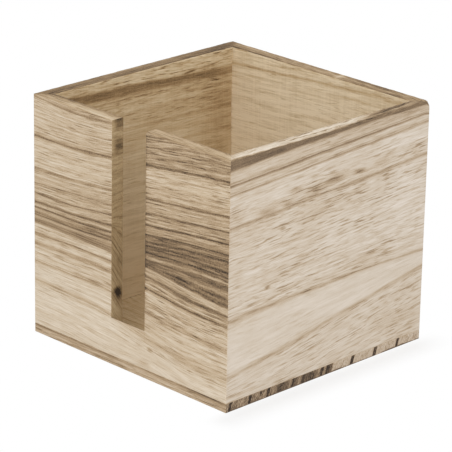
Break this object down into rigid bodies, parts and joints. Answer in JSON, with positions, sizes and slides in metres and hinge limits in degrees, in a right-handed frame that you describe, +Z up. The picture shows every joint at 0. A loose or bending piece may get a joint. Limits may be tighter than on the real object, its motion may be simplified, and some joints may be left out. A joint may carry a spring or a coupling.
{
  "type": "open napkin box",
  "caption": "Square open-top wooden box for folded paper napkins, with mitred walls, a planted base board and a tall open finger slot in the front wall.",
  "frame": {"origin": "middle of the underside, on the surface that the box stands on", "axes": "+Z up out of the open top, -Y out of the slotted front wall, +X towards the right-hand wall seen from the front"},
  "size_m": [0.145, 0.145, 0.133],
  "materials": {
    "wall_wood": "brushed, lightly scorched, unvarnished light wood with brown grain running along each board",
    "base_wood": "brushed, scorched light wood, dark growth rings on its end grain, matt",
    "brad_steel": "plain drawn steel wire"
  },
  "bodies": {
    "root": {"front_panel": "wall_wood", "right_panel": "wall_wood", "back_panel": "wall_wood", "left_panel": "wall_wood", "base_board": "base_wood", "base_brads": "brad_steel"}
  },
  "joints": []
}
